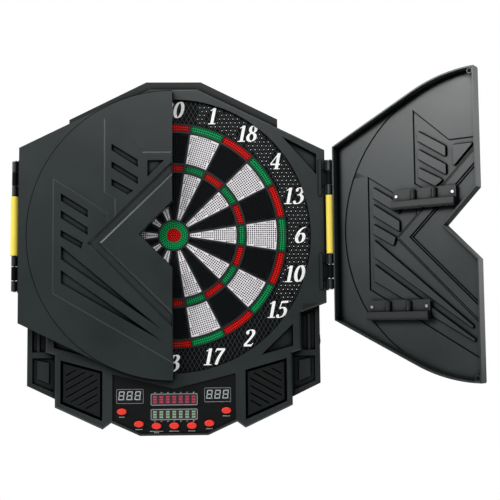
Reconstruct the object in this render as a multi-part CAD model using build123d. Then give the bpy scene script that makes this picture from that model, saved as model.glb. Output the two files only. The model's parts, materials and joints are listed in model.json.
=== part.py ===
from build123d import *
import os
from math import asin, cos, degrees, radians, sin, sqrt, tan

# Electronic dartboard in a wall cabinet with two hinged doors.
# Millimetres, +Z up, front towards -Y. The origin is on the wall plane, behind the bull.
# A "depth" is a distance in front of the wall, so a point at depth d has Y = -d.

# ---------------------------------------------------------------- driving dimensions
WALL = 2.5                      # moulded wall thickness of housing and bezel
HOUSING_DEPTH = 22.0            # wall plane to the seam between rear housing and bezel
BEZEL_DEPTH = 34.0              # wall plane to the bezel's face
BEZEL_CHAMFER = 3.0             # bevel round the bezel's front edge
SLOPE = radians(26.0)           # slope of every slanted edge of the cabinet

TOP_HALF_WIDTH = 42.3           # flat top edge of the rear housing
TOP_Z = 239.6
STEP_X = 160.9                  # where the housing's top ledge ends in a short step
SIDE_X = 232.5                  # side of the bezel
SIDE_TOP_Z = 130.4
SIDE_LOW_Z = -105.1
LOWER_SIDE_X = 222.4            # side of the housing's lower wings
LOWER_SIDE_Z = -226.5
POD_X = 178.8                   # outer side of the grille pods
POD_LOW_Z = -258.5
PANEL_HALF_WIDTH = 51.2         # flat bottom edge under the buttons
BOTTOM_Z = -302.1

# dart face
RING_OUTER_R = 209.5            # number ring
RING_INNER_R = 173.8
RING_DEPTH = 28.0
SPIDER_DEPTH = 29.5
SEGMENT_DEPTH = 28.3
SEGMENT_TRAVEL = 1.0            # how far a bed moves before it bottoms on the rubber mat
LEDGE_R = 197.5                 # inner edge of the bezel's ledge under the number ring
FLANGE_R = 196.5                # outer edge of the spider's flange
RING_SCREW_R = 203.0
RING_SCREW_ANGLES = [45 + 72 * index for index in range(5)]
DOUBLE_R = (161.2, 171.5)
OUTER_SINGLE_R = (112.0, 158.0)
TRIPLE_R = (99.4, 108.4)
INNER_SINGLE_R = (24.6, 96.0)
OUTER_BULL_R = (11.2, 21.6)
INNER_BULL_R = 10.5
SECTORS = 20
WEB_HALF = 1.5                  # half the gap between neighbouring segments
SEGMENT_PLAY = 0.4              # gap between a segment and the spider

# layers behind the segments, as (back depth, front depth)
MAT_SPAN = (13.0, 15.0)
MEMBRANE_SPAN = (12.4, 13.0)
FOAM_SPAN = (9.4, 12.4)
BACKING_SPAN = (6.4, 9.4)
LAYER_R = 175.0
BACKING_R = 185.0
BACKING_SCREW_R = 189.0
BACKING_SCREW_ANGLES = [22.5 + 45 * index for index in range(8)]
SEGMENT_BACK = MAT_SPAN[1] + SEGMENT_TRAVEL + 0.3

# doors
DOOR_BACK = 35.0
DOOR_FRONT = 52.0
DOOR_SKIN = 2.2
DOOR_R = 220.0
DOOR_EDGE_X = 231.2
DOOR_GAP_X = 0.8
NOTCH_HALF = 50.0
CORNER_DROP = 0.9               # how much lower the door lies outside its round field
FIELD_RISE = 1.4                # height of the raised fields on the doors
SLOT_FLOOR = 49.2               # depth of the floor of the sunk slots
CHANNEL_FLOOR = 50.2            # depth of the floor of the channel round the notch plate
GROOVE_WIDTH = 1.8              # grooves on the inside, round every shape of the relief
GROOVE_DEPTH = 0.9
ISLAND_MARGIN = 1.4             # width of the inside of a sunk shape beyond its mouth
LEDGE = (2.6, 1.6)              # width and height of the ledge along the rim, inside
SLOT_LEAN = 25.0                # lean of the slots' walls, degrees
CHANNEL_LEAN = 45.0             # slope of the channel's flanks, degrees
FIELD_LEAN = 60.0               # lean of the fields' flanks, degrees
HINGE_X = 239.0
HINGE_DEPTH = 40.0
KNUCKLE_R = 4.6
PIN_R = 1.5
PIN_PLAY = 0.05
RIGHT_DOOR_OPEN = 142.0         # degrees the right door stands open at rest
UPPER_HINGE_Z = 86.0
LOWER_HINGE_Z = -57.5
FIN_X = 236.0                   # outer edge of the bezel's fin behind the hinges
FIN_SPAN = (-86.0, 114.5)
BAR_R = 6.2
MAGNET_AT = (6.6, 213.0)
MAGNET_R = 3.0
CATCH_AT = (6.6, 214.6)
CATCH_R = 3.0
HOLDER_BACK = 46.2              # depth of the dart holders' mounting face
HOLDER_SIZE = (98.0, 29.0)
HOLDER_REACH = 11.5             # how far the holders stand out from their mounting face
RIB_R = 4.0                     # round ribs between the bays
HOLDER_CORNERS = [(35.0, 27.4), (78.6, -132.6)]
HOLDER_SCREW_INSET = (5.0, 19.5)

# control panel
PANEL_FLOOR = 30.0
OVERLAY_DEPTH = 31.2
BUTTON_FACE = 36.0
BUTTON_TRAVEL = 1.5
BUTTON_SIZE = (14.4, 9.4)
BOARD_SPAN = (10.4, 12.0)
PAD_SPAN = (12.0, 14.0)
DOME_TOP = 20.0
BUTTON_BACK = DOME_TOP + BUTTON_TRAVEL + 0.1
BUTTONS = {
    "button_upper_left": (-78.4, -265.5),
    "button_lower_left_outer": (-52.7, -284.2),
    "button_lower_left_inner": (-26.5, -287.3),
    "button_lower_centre": (0.0, -287.3),
    "button_lower_right_inner": (26.5, -287.3),
    "button_lower_right_outer": (52.7, -284.2),
    "button_upper_right": (78.4, -265.5),
}

# openings in the right side, and screws
SWITCH_Z = -160.9
JACK_Z = -205.0
JACK_DEPTH = 10.5
JACK_BARREL_R = 4.0
JACK_BORE_R = 2.8
JACK_PIN_R = 1.0
SCREW_R = 1.5
POST_R = 4.0
HOUSING_SCREWS = [
    (35.0, 216.4), (-35.0, 216.4), (138.0, 166.5), (-138.0, 166.5), (222.0, 8.0), (-222.0, 8.0),
    (184.4, -121.0), (-184.4, -121.0), (98.0, -196.0), (-98.0, -196.0), (100.0, -270.0), (-100.0, -270.0),
]
KEYHOLE_AT = (150.0, 150.0)
KEYHOLE_R = 4.5
KEYHOLE_SLOT = 4.4
KEYHOLE_RISE = 11.0

FRONT = Plane(origin=(0, 0, 0), x_dir=(1, 0, 0), z_dir=(0, -1, 0))
SIDE = Plane(origin=(0, 0, 0), x_dir=(0, -1, 0), z_dir=(-1, 0, 0))


# ---------------------------------------------------------------- shared helpers
def polygon(points):
    """A face from (x, z) corners."""
    return make_face(Polyline(*points, close=True))


def both_sides(points):
    """A closed outline from its right half, listed from the top centre down."""
    return points + [(-x, z) for x, z in reversed(points) if x > 0]


def slab(face, near, far, taper=0.0):
    """Extrude an (x, z) face from depth `near` to depth `far`."""
    placed = FRONT.offset(near) * face
    return extrude(placed, far - near, dir=(0, -1, 0), taper=taper)


def disc(radius, x=0.0, z=0.0):
    return Pos(x, z) * Circle(radius)


def ring(outer, inner, x=0.0, z=0.0):
    return Pos(x, z) * (Circle(outer) - Circle(inner))


def grow(face, amount):
    """Offset a face outwards, keeping its corners sharp."""
    return offset(face, amount=amount, kind=Kind.INTERSECTION)


def rectangle(spans, margin=0.0):
    """A face from its spans of X and Z."""
    (x0, x1), (z0, z1) = spans
    x0, x1, z0, z1 = x0 - margin, x1 + margin, z0 - margin, z1 + margin
    return polygon([(x0, z0), (x1, z0), (x1, z1), (x0, z1)])


def block(x_span, depth_span, z_span):
    """A box from spans of X, depth and Z."""
    return slab(rectangle((x_span, z_span)), depth_span[0], depth_span[1])


def along(points, x, length):
    """Extrude a (depth, z) profile along X, from `x`."""
    profile = SIDE * polygon(points)
    return Pos(x, 0, 0) * extrude(profile, length, dir=(1, 0, 0))


def post_face(places, radius):
    """Round faces of one radius at several (x, z) places."""
    return Sketch() + [disc(radius, x, z) for x, z in places]


def polar(radius, angle):
    """The (x, z) point at a radius and an angle in degrees from +X."""
    return radius * cos(radians(angle)), radius * sin(radians(angle))


def mirrored(shape):
    return mirror(shape, about=Plane.YZ)


def upright(radius, x, depth, z_span):
    """A cylinder along Z."""
    height = z_span[1] - z_span[0]
    return Pos(x, -depth, z_span[0]) * Cylinder(radius, height, align=(Align.CENTER, Align.CENTER, Align.MIN))


# ---------------------------------------------------------------- outlines, right halves first
def bezel_outline():
    run = 36.6
    top = SIDE_TOP_Z + (SIDE_X - run) * tan(SLOPE)
    right = [
        (0, top), (run, top), (SIDE_X, SIDE_TOP_Z), (SIDE_X, SIDE_LOW_Z), (192.7, -119.3), (192.7, -175.8),
        (POD_X, -180.4), (POD_X, POD_LOW_Z), (107.3, -291.8), (94.5, -282.5), (PANEL_HALF_WIDTH, BOTTOM_Z),
        (0, BOTTOM_Z),
    ]
    return polygon(both_sides(right))


def housing_outline():
    right = [
        (0, TOP_Z), (TOP_HALF_WIDTH, TOP_Z), (STEP_X, 180.8), (STEP_X, 163.6), (229.0, 130.4),
        (229.0, -105.1), (LOWER_SIDE_X, -107.6), (LOWER_SIDE_X, LOWER_SIDE_Z), (176.0, -248.6),
        (176.0, -257.2), (107.3, -288.6), (95.0, -279.4), (50.6, -299.6), (0, -299.6),
    ]
    return polygon(both_sides(right))


def panel_outline(inset=0.0):
    side = 92.5 - inset
    right = [
        (0, -232.2 - inset), (side, -209.8 - inset), (side, -278.2 + inset), (50.0, -298.4 + inset),
        (0, -298.4 + inset),
    ]
    return polygon(both_sides(right))


def pod_frame():
    return polygon([(107.4, -205.2), (170.2, -187.9), (170.2, -252.4), (107.4, -279.4)])


def pod_grille():
    return polygon([(110.9, -208.4), (166.2, -193.2), (166.2, -250.0), (110.9, -273.9)])


UPPER_RECESS = [(166.6, 152.0), (219.5, 123.6), (219.5, 91.7)]
LOWER_RECESS = [(180.3, -136.5), (131.9, -182.8), (180.3, -169.5)]
WING_UPPER = [(196.2, -121.2), (215.0, -115.0), (215.0, -176.2), (196.2, -176.2)]
WING_LOWER = [(182.2, -184.9), (214.4, -184.9), (214.4, -222.8), (182.2, -236.5)]
WING_BAR = [(203.9, -121.5), (208.0, -120.2), (208.0, -175.3), (203.9, -175.3)]
WING_PLATE = [(189.5, -192.4), (207.2, -188.8), (207.2, -216.2), (189.5, -223.5)]
RED_WINDOW = ((-34.8, 34.8), (-256.7, -239.9))
GREEN_WINDOW = ((-34.8, 34.8), (-278.4, -262.8))
LEFT_DIGITS = ((-86.3, -46.3), (-253.5, -232.6))
RIGHT_DIGITS = ((45.8, 85.0), (-252.4, -231.8))
SPEAKER_AT = (138.0, -234.0)
SPEAKER_R = 25.0
POD_FLOOR = 25.5
RECESS_FALL = 8.0               # depth of the triangular recesses beside the dart face
GRILLE_DEPTH = 31.5


def sink(body, face, floor, skin, rim):
    """Press a recess into a shell: walls and floor are added inside, then the recess is cut."""
    body = body + slab(grow(face, skin), floor - skin, rim)
    return body - slab(face, floor, rim + WALL)


# ---------------------------------------------------------------- cabinet
def rear_housing():
    outline = housing_outline()
    cavity = grow(outline, -WALL)
    body = slab(outline, 0, HOUSING_DEPTH) - slab(cavity, WALL, HOUSING_DEPTH)
    # the top ledge and the lower wings are closed in front, because the bezel doesn't cover them
    cover = outline - grow(bezel_outline(), -WALL - 0.5)
    body = body + slab(cover, HOUSING_DEPTH - WALL, HOUSING_DEPTH)
    body = body - slab(housing_outline() - grow(bezel_outline(), -0.6), HOUSING_DEPTH - 0.4, HOUSING_DEPTH)
    for side in (1, -1):
        for corners in (WING_UPPER, WING_LOWER):
            face = polygon([(side * x, z) for x, z in corners])
            body = sink(body, face, HOUSING_DEPTH - 4.0, 2.0, HOUSING_DEPTH - 0.4)
        for corners in (WING_BAR, WING_PLATE):
            face = polygon([(side * x, z) for x, z in corners])
            body = body + slab(face, HOUSING_DEPTH - 4.5, HOUSING_DEPTH - 1.4)
    # screw posts, stopped where the bezel's own posts begin
    body = body + slab(post_face(HOUSING_SCREWS, POST_R), WALL, HOUSING_DEPTH - 6)
    body = body - slab(post_face(HOUSING_SCREWS, 3.2), 0, 8)
    body = body - slab(post_face(HOUSING_SCREWS, SCREW_R), 8, HOUSING_DEPTH - 6)
    # keyholes for two wall screws
    key_x, key_z = KEYHOLE_AT
    for x in (key_x, -key_x):
        slot = Pos(x, key_z + KEYHOLE_RISE / 2) * Rectangle(KEYHOLE_SLOT, KEYHOLE_RISE)
        tip = disc(KEYHOLE_SLOT / 2, x, key_z + KEYHOLE_RISE)
        body = body - slab(disc(KEYHOLE_R, x, key_z) + slot + tip, 0, WALL)
    # openings in the right side for the switch and the power jack
    body = body + block((LOWER_SIDE_X - WALL, LOWER_SIDE_X + 1.2), (6.5, 14.5), (SWITCH_Z - 7, SWITCH_Z + 7))
    body = body - block((215.0, 225.0), (8.0, 13.0), (SWITCH_Z - 5, SWITCH_Z + 5))
    bore = Rot(0, 90, 0) * Cylinder(JACK_BARREL_R, 20)
    return body - Pos(215, -JACK_DEPTH, JACK_Z) * bore


def front_bezel():
    outline = bezel_outline()
    body = slab(outline, HOUSING_DEPTH, BEZEL_DEPTH - BEZEL_CHAMFER)
    body = body + slab(outline, BEZEL_DEPTH - BEZEL_CHAMFER, BEZEL_DEPTH, taper=45)
    body = body - slab(grow(outline, -WALL - 0.5), HOUSING_DEPTH, BEZEL_DEPTH - WALL)
    # mouth for the dart face, with a ledge that the number ring sits on
    body = body + slab(ring(RING_OUTER_R + 3, RING_OUTER_R), HOUSING_DEPTH, BEZEL_DEPTH - 1)
    body = body - slab(disc(RING_OUTER_R + 0.3), HOUSING_DEPTH, BEZEL_DEPTH)
    body = body + slab(ring(RING_OUTER_R + 1, LEDGE_R), HOUSING_DEPTH, RING_DEPTH - 4)
    ring_screws = [polar(RING_SCREW_R, angle) for angle in RING_SCREW_ANGLES]
    body = body + slab(post_face(ring_screws, POST_R), 12, HOUSING_DEPTH)
    body = body - slab(post_face(ring_screws, SCREW_R), 12, HOUSING_DEPTH + 3)
    # posts for the screws from behind
    body = body + slab(post_face(HOUSING_SCREWS, POST_R), HOUSING_DEPTH - 6, BEZEL_DEPTH - 2)
    body = body - slab(post_face(HOUSING_SCREWS, SCREW_R), HOUSING_DEPTH - 6, 30)
    # sunk control panel
    panel = panel_outline()
    body = sink(body, panel, PANEL_FLOOR, WALL, BEZEL_DEPTH - 0.5)
    for window in (RED_WINDOW, GREEN_WINDOW, LEFT_DIGITS, RIGHT_DIGITS):
        body = body - slab(rectangle(window, 0.1), PANEL_FLOOR - WALL, PANEL_FLOOR)
    for x, z in BUTTONS.values():
        hole = Pos(x, z) * Ellipse(BUTTON_SIZE[0] / 2 + 0.6, BUTTON_SIZE[1] / 2 + 0.6)
        body = body - slab(hole, PANEL_FLOOR - WALL, PANEL_FLOOR)
    # grille pods and triangular recesses, left and right
    for side in (1, -1):
        frame = pod_frame()
        grille = pod_grille()
        if side < 0:
            frame = mirror(frame, about=Plane.YZ)
            grille = mirror(grille, about=Plane.YZ)
        body = sink(body, frame, POD_FLOOR, WALL, BEZEL_DEPTH - 0.5)
        body = body - slab(grow(grille, -2.5), POD_FLOOR - WALL, POD_FLOOR)
        for corners in (UPPER_RECESS, LOWER_RECESS):
            face = polygon([(side * x, z) for x, z in corners])
            body = sink(body, face, BEZEL_DEPTH - RECESS_FALL, 2.0, BEZEL_DEPTH - 0.5)
        for height in (UPPER_HINGE_Z, LOWER_HINGE_Z):
            leaf = rectangle(((221, SIDE_X + 1), (height - 28.5, height + 28.5)), 0.2)
            floor = rectangle(((220.5, 229), (height - 30, height + 30)))
            if side < 0:
                leaf = mirror(leaf, about=Plane.YZ)
                floor = mirror(floor, about=Plane.YZ)
            body = body + slab(floor, BEZEL_DEPTH - 5, BEZEL_DEPTH - WALL)
            body = body - slab(leaf, BEZEL_DEPTH - 1.5, BEZEL_DEPTH)
        # a fin behind the hinges and the side bar
        inner, outer = sorted((side * (SIDE_X - 1), side * FIN_X))
        body = body + block((inner, outer), (24.0, 31.5), FIN_SPAN)
        for height in (CATCH_AT[1], -CATCH_AT[1]):
            body = body - slab(disc(CATCH_R, side * CATCH_AT[0], height), BEZEL_DEPTH - 1, BEZEL_DEPTH)
    return body


# ---------------------------------------------------------------- dart face
def sector(radii, angle, clearance=0.0):
    """One bed of the dart face, with straight flanks parallel to its wires."""
    inner = radii[0] - clearance
    outer = radii[1] + clearance
    half = 180 / SECTORS
    lift = WEB_HALF - clearance
    inner_turn = half - degrees(asin(lift / inner))
    outer_turn = half - degrees(asin(lift / outer))
    corners = [
        polar(inner, angle - inner_turn), polar(outer, angle - outer_turn),
        polar(outer, angle + outer_turn), polar(inner, angle + inner_turn),
    ]
    edges = [
        Line(corners[0], corners[1]),
        ThreePointArc(corners[1], polar(outer, angle), corners[2]),
        Line(corners[2], corners[3]),
        ThreePointArc(corners[3], polar(inner, angle), corners[0]),
    ]
    return make_face(Curve() + edges)


def beds(radii, first):
    """Every second bed of one ring, as separate solids: the same colour goes to every second bed."""
    solids = []
    for index in range(first, SECTORS, 2):
        angle = 90 - index * 360 / SECTORS
        solids.append(slab(sector(radii, angle), SEGMENT_BACK, SEGMENT_DEPTH).solid())
    return Compound(solids)


def segment_spider():
    """The grid between the beds, with a flange behind the number ring and posts for the backing plate."""
    body = slab(disc(RING_INNER_R - 0.6), MAT_SPAN[1], SPIDER_DEPTH)
    pockets = []
    for radii in (DOUBLE_R, OUTER_SINGLE_R, TRIPLE_R, INNER_SINGLE_R):
        for index in range(SECTORS):
            bed = sector(radii, 90 - index * 360 / SECTORS, SEGMENT_PLAY)
            pockets.append(slab(bed, MAT_SPAN[1], SPIDER_DEPTH))
    pockets.append(slab(disc(OUTER_BULL_R[1] + SEGMENT_PLAY), MAT_SPAN[1], SPIDER_DEPTH))
    body = body - pockets
    body = body + slab(ring(FLANGE_R, RING_INNER_R - 2), RING_DEPTH - 6, RING_DEPTH - 4)
    posts = [polar(BACKING_SCREW_R, angle) for angle in BACKING_SCREW_ANGLES]
    body = body + slab(post_face(posts, POST_R), BACKING_SPAN[1], RING_DEPTH - 6)
    return body - slab(post_face(posts, SCREW_R), BACKING_SPAN[1], RING_DEPTH - 7)


def number_ring():
    body = slab(ring(RING_OUTER_R, RING_INNER_R), RING_DEPTH - 4, RING_DEPTH)
    places = [polar(RING_SCREW_R, angle) for angle in RING_SCREW_ANGLES]
    body = body - slab(post_face(places, SCREW_R), RING_DEPTH - 4, RING_DEPTH)
    return body - slab(post_face(places, 3.0), RING_DEPTH - 1.6, RING_DEPTH)


def screw(x, z, tip, head, head_length, head_radius=3.0):
    """A screw driven along Y: shank from `tip` to `head`, then its head."""
    low, high = sorted((head, head + head_length))
    shank_low, shank_high = sorted((tip, head))
    return slab(disc(SCREW_R, x, z), shank_low, shank_high) + slab(disc(head_radius, x, z), low, high)


def number_ring_screws():
    places = [polar(RING_SCREW_R, angle) for angle in RING_SCREW_ANGLES]
    return Compound([screw(x, z, 14, RING_DEPTH - 1.6, 1.4, 2.8).solid() for x, z in places])


def backing_plate():
    ears = [polar(BACKING_SCREW_R, angle) for angle in BACKING_SCREW_ANGLES]
    face = disc(BACKING_R) + post_face(ears, 6.0)
    body = slab(face, BACKING_SPAN[0], BACKING_SPAN[1])
    return body - slab(post_face(ears, SCREW_R), BACKING_SPAN[0], BACKING_SPAN[1])


def backing_plate_screws():
    ears = [polar(BACKING_SCREW_R, angle) for angle in BACKING_SCREW_ANGLES]
    return Compound([screw(x, z, 18, BACKING_SPAN[0], -1.6).solid() for x, z in ears])


def housing_screws():
    return Compound([screw(x, z, 24, 8, -2.4).solid() for x, z in HOUSING_SCREWS])


def sensor_membrane():
    """Film with the contact matrix and a tail that reaches the circuit board."""
    tail = polygon([(-20, -170), (20, -170), (20, -228), (-20, -228)])
    return slab(disc(LAYER_R) + tail, MEMBRANE_SPAN[0], MEMBRANE_SPAN[1])


# ---------------------------------------------------------------- control panel
def main_circuit_board():
    """Printed board with the membrane connector, processor and a few tall parts."""
    board = slab(rectangle(((-88, 88), (-276, -222))), BOARD_SPAN[0], BOARD_SPAN[1])
    board = board + slab(rectangle(((-48, 48), (-294, -270))), BOARD_SPAN[0], BOARD_SPAN[1])
    parts = [
        block((-22, 22), (13.0, 15.0), (-229, -223)),
        block((-22, -20.2), (12.0, 13.0), (-229, -223)),
        block((20.2, 22), (12.0, 13.0), (-229, -223)),
        block((-12, 12), (8.6, 10.4), (-258, -240)),
        slab(disc(4, 50, -240), 5.0, 10.4),
        slab(disc(4, 62, -240), 5.0, 10.4),
        block((-70, -50), (6.0, 10.4), (-250, -238)),
    ]
    return board + parts


def control_panel_overlay():
    face = panel_outline(0.3)
    for window in (RED_WINDOW, GREEN_WINDOW, LEFT_DIGITS, RIGHT_DIGITS):
        face = face - rectangle(window, 0.1)
    for x, z in BUTTONS.values():
        face = face - Pos(x, z) * Ellipse(BUTTON_SIZE[0] / 2 + 0.3, BUTTON_SIZE[1] / 2 + 0.3)
    return slab(face, PANEL_FLOOR, OVERLAY_DEPTH)


def display(window, depth):
    """A display block whose lens ends flush with the overlay, with a foot behind the panel."""
    foot = slab(rectangle(window, 0.6), 23.0, PANEL_FLOOR - WALL)
    return foot + slab(rectangle(window), PANEL_FLOOR - WALL, depth)


def button(x, z):
    """An oval cap with a flange that keeps it behind the panel."""
    width, height = BUTTON_SIZE
    cap = slab(Pos(x, z) * Ellipse(width / 2, height / 2), BUTTON_BACK, BUTTON_FACE)
    cap = fillet(cap.edges().group_by(Axis.Y)[0], 1.4)
    flange = slab(Pos(x, z) * Ellipse(width / 2 + 1.2, height / 2 + 1.2), 25.9, PANEL_FLOOR - WALL - 0.4)
    return cap + flange


def button_rubber_pad():
    """Rubber sheet with one dome behind each button."""
    face = post_face(BUTTONS.values(), 8.0) + rectangle(((-50, 50), (-292, -282)))
    strip = [(50, -292), (50, -280), (76, -258), (84, -266)]
    strips = [polygon([(side * x, z) for x, z in strip]) for side in (1, -1)]
    pad = slab(face + strips, PAD_SPAN[0], PAD_SPAN[1])
    return pad + slab(post_face(BUTTONS.values(), 4.0), PAD_SPAN[1], DOME_TOP)


def speaker_grille():
    """Slanted plate with seven long slots and a skirt behind it, on the right side."""
    plate = slab(pod_grille(), POD_FLOOR, GRILLE_DEPTH)
    plate = plate - slab(grow(pod_grille(), -2.0), POD_FLOOR, GRILLE_DEPTH - 2.5)
    face = grow(pod_grille(), -4.0)
    fall = tan(radians(29.0))
    slots = []
    for index in range(7):
        left = -196.5 - 11.0 * index + 30 * fall
        right = left - 62 * fall
        strip = polygon([(108, left), (170, right), (170, right - 2.3), (108, left - 2.3)])
        slots.append(slab(strip & face, GRILLE_DEPTH - 2.5, GRILLE_DEPTH))
    return plate - slots


def loudspeaker():
    """Round frame, cone and magnet, held against the right grille's opening."""
    x, z = SPEAKER_AT
    top = POD_FLOOR - WALL
    frame = slab(ring(SPEAKER_R, SPEAKER_R - 3, x, z), top - 3.5, top)
    basket = slab(disc(SPEAKER_R, x, z), top - 5.5, top - 3.5)
    magnet = slab(disc(12, x, z), top - 15.0, top - 5.5)
    dust_cap = slab(disc(7, x, z), top - 3.5, top - 1.5)
    return frame + basket + magnet + dust_cap


def power_switch():
    """Slider behind the right side wall, with a tab that stands out through a slot, at its lower end."""
    low = SWITCH_Z - 4.6
    slider = block((217.2, LOWER_SIDE_X - WALL - 0.4), (6.8, 14.2), (low - 1, low + 6))
    return slider + block((217.2, LOWER_SIDE_X + 1.8), (8.4, 12.6), (low, low + 5))


def dc_jack():
    """Power inlet in the right side: a barrel with an open front and a contact pin."""
    barrel = Rot(0, 90, 0) * Cylinder(JACK_BARREL_R, 12)
    bore = Pos(1.5, 0, 0) * (Rot(0, 90, 0) * Cylinder(JACK_BORE_R, 9))
    pin = Rot(0, 90, 0) * Cylinder(JACK_PIN_R, 11)
    return Pos(LOWER_SIDE_X - 6, -JACK_DEPTH, JACK_Z) * (barrel - bore + pin)


def internal_leads():
    """Two-core leads from the board to the loudspeaker and to the power jack."""
    speaker_path = FilletPolyline((88, -9, -240), (100, -9, -240), (112, -9, -226), (124, -9, -226), radius=5)
    power_path = FilletPolyline((88, -9, -262), (120, -9, -266), (160, -9, -240), (195, -10.5, -205),
                                (210.4, -10.5, -205), radius=12)
    leads = []
    for path in (speaker_path, power_path):
        section = Plane(path @ 0, z_dir=path % 0) * Circle(1.2)
        leads.append(sweep(section, path=path).solid())
    return Compound(leads)


# ---------------------------------------------------------------- doors
def door_outline():
    """Right door: a straight hinge edge, slopes tangent to a circle, and a V notch at the bull."""
    corner = (DOOR_EDGE_X, (DOOR_R - DOOR_EDGE_X * sin(SLOPE)) / cos(SLOPE))
    tangent = polar(DOOR_R, 90 - degrees(SLOPE))
    crown = polar(DOOR_R, 90 - degrees(SLOPE) / 2)
    top = (DOOR_GAP_X, sqrt(DOOR_R ** 2 - DOOR_GAP_X ** 2))
    notch = (DOOR_GAP_X, NOTCH_HALF)
    upper = [
        Line((DOOR_EDGE_X, 0), corner),
        Line(corner, tangent),
        ThreePointArc(tangent, crown, top),
        Line(top, notch),
        Line(notch, (DOOR_GAP_X + NOTCH_HALF, 0)),
    ]
    edges = upper + [mirror(edge, about=Plane.XZ) for edge in upper]
    return make_face(Curve() + edges)


PANEL_A = [
    (104.0, 178.3), (104.0, 62.6), (88.0, 52.8), (88.0, 21.8), (1.0, 107.6), (1.0, 125.4), (44.6, 125.4),
]
PANEL_B = [
    (180.6, 86.6), (96.6, 32.4), (96.6, 15.4), (126.4, -13.0), (1.0, -137.8), (1.0, -194.0), (180.6, -88.8),
]
# the channel that follows the notch, at its floor, and the plate that it encloses
CHANNEL = [(-4.0, 111.8), (125.0, -13.0), (-4.0, -142.0), (-4.0, -128.4), (113.0, -13.0), (-4.0, 100.4)]
NOTCH_PLATE = [(-4.0, 97.4), (110.0, -13.0), (-4.0, -125.4)]
DOOR_SLOTS = [
    [(92.4, 137.6), (52.4, 112.7), (52.4, 101.5), (92.4, 127.4)],
    [(92.4, 110.9), (52.4, 86.0), (52.4, 75.4), (92.4, 100.8)],
    [(92.4, 84.2), (59.1, 65.5), (67.8, 59.5), (92.4, 73.8)],
    [(38.2, 112.3), (12.6, 112.3), (38.2, 86.6)],
    [(168.0, 62.4), (127.4, 36.8), (127.4, 25.3), (168.0, 50.7)],
    [(168.0, 36.9), (127.4, 10.3), (127.4, -1.2), (168.0, 24.4)],
    [(168.0, 7.2), (134.2, -12.5), (137.1, -21.4), (168.0, -3.3)],
    [(167.4, -16.8), (17.5, -142.7), (167.4, -37.6)],
    [(167.4, -53.1), (15.2, -161.2), (167.4, -73.5)],
]


HOLDER_SCREWS = [
    (x + offset_x, z + HOLDER_SCREW_INSET[1])
    for x, z in HOLDER_CORNERS
    for offset_x in (HOLDER_SCREW_INSET[0], HOLDER_SIZE[0] - HOLDER_SCREW_INSET[0])
]


def door_tray():
    """The door without its relief: a thin tray with a rim, a little lower outside its round field."""
    outline = door_outline()
    inner = grow(outline, -DOOR_SKIN)
    width, height = LEDGE
    bed = grow(inner, -width)
    skin = DOOR_FRONT - DOOR_SKIN
    body = slab(outline, DOOR_BACK, DOOR_FRONT) - slab(inner, DOOR_BACK, skin - height)
    body = body - slab(bed, DOOR_BACK, skin)
    edge = DOOR_R - 1.2
    body = body + slab(inner - disc(edge), skin - CORNER_DROP, skin)
    body = body - slab(ring(edge, edge - GROOVE_WIDTH) & bed, skin, skin + GROOVE_DEPTH)
    low = DOOR_FRONT - CORNER_DROP
    body = body - slab(outline - disc(edge), low, DOOR_FRONT)
    return body - slab(ring(edge + 1.1, edge) & outline, low - 0.7, DOOR_FRONT)


def raised_fields(body):
    """Fields with sloped flanks, hollow behind, up to the edge of the notch."""
    outline = door_outline()
    skin = DOOR_FRONT - DOOR_SKIN
    limit = slab(grow(outline, -0.6), DOOR_FRONT, DOOR_FRONT + FIELD_RISE)
    hollow_limit = grow(outline, -DOOR_SKIN - LEDGE[0] - 0.3)
    channel = grow(polygon(CHANNEL), 4.3)
    for points in (PANEL_A, PANEL_B, NOTCH_PLATE):
        field = slab(polygon(points), DOOR_FRONT, DOOR_FRONT + FIELD_RISE, taper=FIELD_LEAN)
        body = body + (field & limit)
        hollow = (grow(polygon(points), -2.2) & hollow_limit) - channel
        body = body - slab(hollow, skin, skin + FIELD_RISE)
        border = hollow - grow(hollow, -GROOVE_WIDTH)
        body = body - slab(border, skin, skin + FIELD_RISE + GROOVE_DEPTH)
    return body


def sunk_shapes(body):
    """Slots and the channel round the notch plate, with grooved islands behind them."""
    outline = door_outline()
    top = DOOR_FRONT + FIELD_RISE
    inside = top - DOOR_SKIN
    island_limit = grow(outline, -DOOR_SKIN)
    shapes = [(CHANNEL, CHANNEL_FLOOR, DOOR_FRONT - DOOR_SKIN)]
    shapes += [(points, SLOT_FLOOR, inside) for points in DOOR_SLOTS]
    for points, floor, skin in shapes:
        face = polygon(points)
        island = offset(face, amount=ISLAND_MARGIN, kind=Kind.ARC) & island_limit
        border = offset(face, amount=ISLAND_MARGIN + GROOVE_WIDTH, kind=Kind.ARC) & island_limit
        body = body - slab(border - island, skin, skin + GROOVE_DEPTH)
        body = body + slab(island, floor - DOOR_SKIN, inside)
    limit = slab(grow(outline, -0.6), CHANNEL_FLOOR, top)
    channel = slab(polygon(CHANNEL), CHANNEL_FLOOR, top, taper=-CHANNEL_LEAN)
    body = body - (channel & limit)
    for points in DOOR_SLOTS:
        mouth = FRONT.offset(top) * polygon(points)
        body = body - extrude(mouth, top - SLOT_FLOOR, dir=(0, 1, 0), taper=SLOT_LEAN)
    return body


def door():
    """Right door, closed, with posts for its magnets and for the dart holders' screws."""
    body = raised_fields(door_tray())
    x, z = MAGNET_AT
    magnets = [(x, z), (x, -z)]
    seat = DOOR_BACK + 0.6
    body = body + slab(post_face(magnets, MAGNET_R + 1.2), seat, DOOR_FRONT - DOOR_SKIN)
    body = body + slab(post_face(HOLDER_SCREWS, 3.4), HOLDER_BACK, DOOR_FRONT - DOOR_SKIN + FIELD_RISE)
    body = sunk_shapes(body)
    body = body - slab(post_face(magnets, MAGNET_R), seat, seat + 3.0)
    return body - slab(post_face(HOLDER_SCREWS, SCREW_R), HOLDER_BACK, SLOT_FLOOR - 0.8)


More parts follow.
